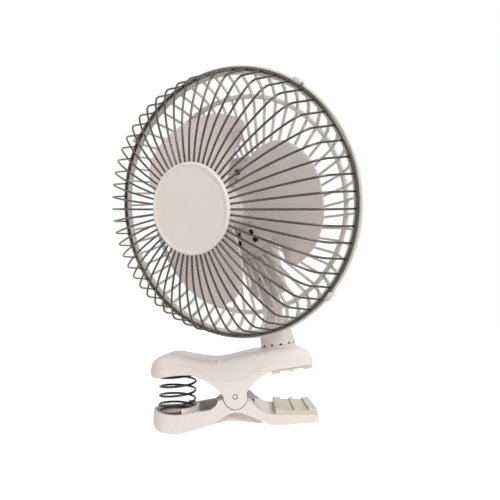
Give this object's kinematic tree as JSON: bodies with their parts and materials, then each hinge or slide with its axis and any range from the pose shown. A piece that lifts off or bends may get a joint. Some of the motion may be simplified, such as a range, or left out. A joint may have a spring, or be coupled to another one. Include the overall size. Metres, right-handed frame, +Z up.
{
  "type": "clip fan",
  "caption": "Small desk fan on a spring clamp, with a wire front guard, ribbed rear guard, wide blades and a head that swivels and tilts.",
  "frame": {"origin": "middle of the upper pad's gripping face", "axes": "+X along the jaws, away from the pivot; +Y away from the viewer, along the pivot pin; +Z up, square to the lower jaw"},
  "size_m": [0.1827, 0.1573, 0.263],
  "materials": {
    "housing_beige": "moulded, satin",
    "guard_white": "moulded, satin",
    "blade_mauve": "moulded, satin",
    "dark_chrome": "dark bright plating",
    "spring_dark": "blackened spring wire",
    "pad_rubber": "cream soft rubber",
    "steel": "zinc plated",
    "core_steel": "stacked laminations",
    "coil_copper": "enamelled copper winding",
    "aluminium_cast": "die cast",
    "bush_brass": "sintered bronze",
    "black_plastic": "moulded",
    "knob_plastic": "moulded",
    "black_rubber": "soft rubber"
  },
  "bodies": {
    "clamp_upper": {"clamp_upper": "housing_beige", "upper_pad": "pad_rubber", "clamp_pin": "steel", "clamp_spring": "spring_dark"},
    "clamp_lower": {"clamp_lower": "housing_beige", "lower_pad": "pad_rubber"},
    "neck": {"neck_post": "housing_beige", "swivel_screw": "steel", "swivel_washer": "steel", "tilt_bolt": "steel", "tilt_nut": "steel"},
    "head": {"motor_housing": "housing_beige", "motor_cover": "housing_beige", "stator_core": "core_steel", "stator_coil": "coil_copper", "front_bracket": "aluminium_cast", "rear_bracket": "aluminium_cast", "front_bush": "bush_brass", "rear_bush": "bush_brass", "speed_switch": "black_plastic", "cord_grommet": "black_rubber", "rear_guard": "guard_white", "guard_clips": "guard_white", "front_ring": "dark_chrome", "front_wires": "dark_chrome", "hub_badge": "housing_beige"},
    "rotor": {"fan_blades": "blade_mauve", "motor_shaft": "steel", "motor_rotor": "core_steel", "blade_nut": "bush_brass"},
    "knob": {"speed_knob": "knob_plastic"}
  },
  "joints": [
    {"name": "jaw_hinge", "type": "hinge", "parent": "clamp_upper", "child": "clamp_lower", "pos_m": [-0.04381, 0, -0.01807], "axis": [0, 1, 0], "range_deg": [-26, 12], "stiffness_Nm_per_rad": 3.5, "springref_deg": -37.24, "deforming": ["clamp_spring"]},
    {"name": "neck_swivel", "type": "hinge", "parent": "clamp_upper", "child": "neck", "pos_m": [-0.00938, 0, 0.01882], "axis": [-0.1478, 0, 0.989], "range_deg": [-90, 149]},
    {"name": "head_tilt", "type": "hinge", "parent": "neck", "child": "head", "pos_m": [-0.01672, 0, 0.06788], "axis": [0.8622, -0.49, 0.1289], "range_deg": [-55, 5]},
    {"name": "blade_spin", "type": "hinge", "parent": "head", "child": "rotor", "pos_m": [-0.05348, -0.05087, 0.12039], "axis": [-0.4391, -0.8495, -0.2924], "continuous": true},
    {"name": "knob_turn", "type": "hinge", "parent": "head", "child": "knob", "pos_m": [-0.01176, 0.02984, 0.14817], "axis": [0.4391, 0.8495, 0.2924], "range_deg": [0, 120]}
  ]
}
